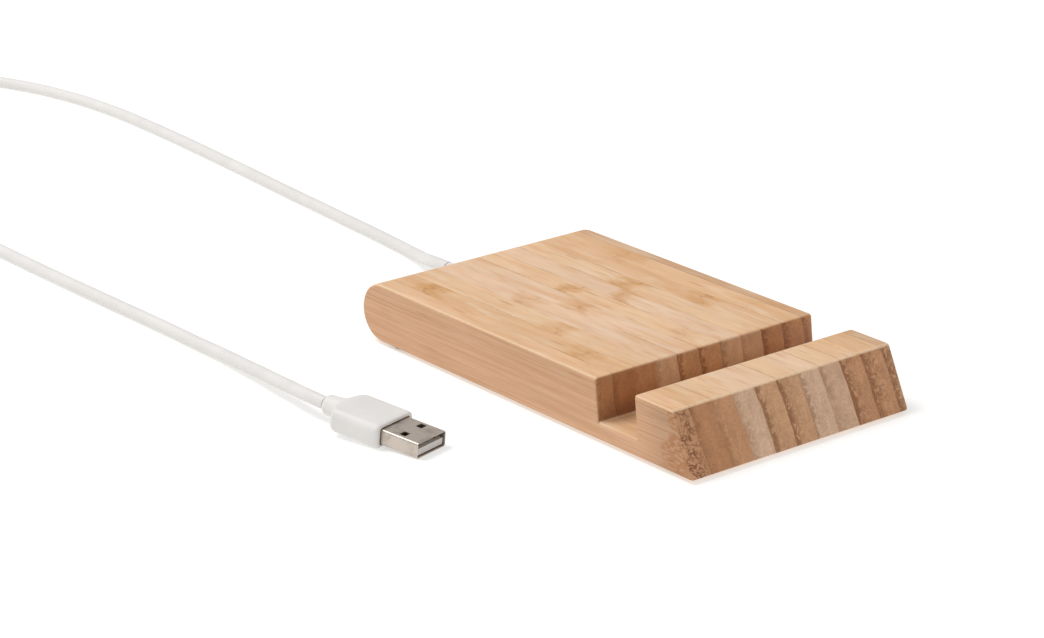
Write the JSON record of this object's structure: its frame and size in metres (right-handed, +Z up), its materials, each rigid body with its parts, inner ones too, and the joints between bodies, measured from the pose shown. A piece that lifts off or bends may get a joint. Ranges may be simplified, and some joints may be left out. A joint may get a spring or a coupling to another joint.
{
  "type": "wireless charging pad",
  "caption": "Bamboo block wireless charging pad with a phone slot near its slanted front lip, a bottom cover over the coil and board, and a plug-in USB cable.",
  "frame": {"origin": "on the table, under the middle of the pad without its cable", "axes": "+Z up, +Y towards the rounded back where the cable leaves, -Y the slanted front lip, +X to the right seen from the front"},
  "size_m": [0.1328, 0.4797, 0.0183],
  "materials": {
    "bamboo": "sanded and lightly oiled laminated bamboo",
    "dark_plastic": "fine matte texture",
    "silicone": "matte silicone",
    "zinc_steel": "zinc plated",
    "copper": "enamelled copper wire",
    "ferrite": "smooth sintered ferrite",
    "white_foam": "closed-cell foam tape",
    "board_green": "solder resist on glass epoxy",
    "chip_black": "moulded epoxy",
    "ceramic_tan": "fired ceramic",
    "capacitor_can": "drawn aluminium can",
    "white_cable": "soft-touch white TPE with a slight sheen",
    "tie_fabric": "woven hook-and-loop strap",
    "plug_steel": "nickel plated pressed steel",
    "white_insulator": "moulded plastic",
    "gold_plate": "gold plated contact"
  },
  "bodies": {
    "pad": {"bamboo_body": "bamboo", "bottom_cover": "dark_plastic", "coil_adhesive": "white_foam", "transmitter_coil": "copper", "ferrite_shield": "ferrite", "coil_lead_outer": "copper", "coil_lead_inner": "copper", "coil_thermistor": "chip_black", "foam_spacer": "white_foam", "circuit_board": "board_green", "usb_c_socket_shell": "plug_steel", "usb_c_socket_tongue": "chip_black", "controller_chip": "chip_black", "bridge_mosfet_1": "chip_black", "bridge_mosfet_2": "chip_black", "buck_inductor": "ferrite", "crystal": "zinc_steel", "resonant_capacitor_1": "ceramic_tan", "resonant_capacitor_2": "ceramic_tan", "resonant_capacitor_3": "ceramic_tan", "resonant_capacitor_4": "ceramic_tan", "input_capacitor": "capacitor_can", "cover_screw_1": "zinc_steel", "board_screw_1": "zinc_steel", "foot_1": "silicone", "cover_screw_2": "zinc_steel", "board_screw_2": "zinc_steel", "foot_2": "silicone", "cover_screw_3": "zinc_steel", "board_screw_3": "zinc_steel", "foot_3": "silicone", "cover_screw_4": "zinc_steel", "board_screw_4": "zinc_steel", "foot_4": "silicone"},
    "cable": {"usb_c_plug_shell": "plug_steel", "usb_c_plug_grip": "white_cable", "usb_c_strain_relief": "white_cable", "cord_from_pad": "white_cable", "cord_coil": "white_cable", "cord_tie": "tie_fabric", "cord_to_plug": "white_cable", "usb_a_strain_relief": "white_cable", "usb_a_grip": "white_cable", "usb_a_shell": "plug_steel", "usb_a_insulator": "white_insulator", "usb_a_contact_1": "gold_plate", "usb_a_contact_2": "gold_plate", "usb_a_contact_3": "gold_plate", "usb_a_contact_4": "gold_plate"}
  },
  "joints": [
    {"name": "usb_c_unplug", "type": "slide", "parent": "pad", "child": "cable", "axis": [0, 1, 0], "range_m": [0, 0.012]}
  ]
}
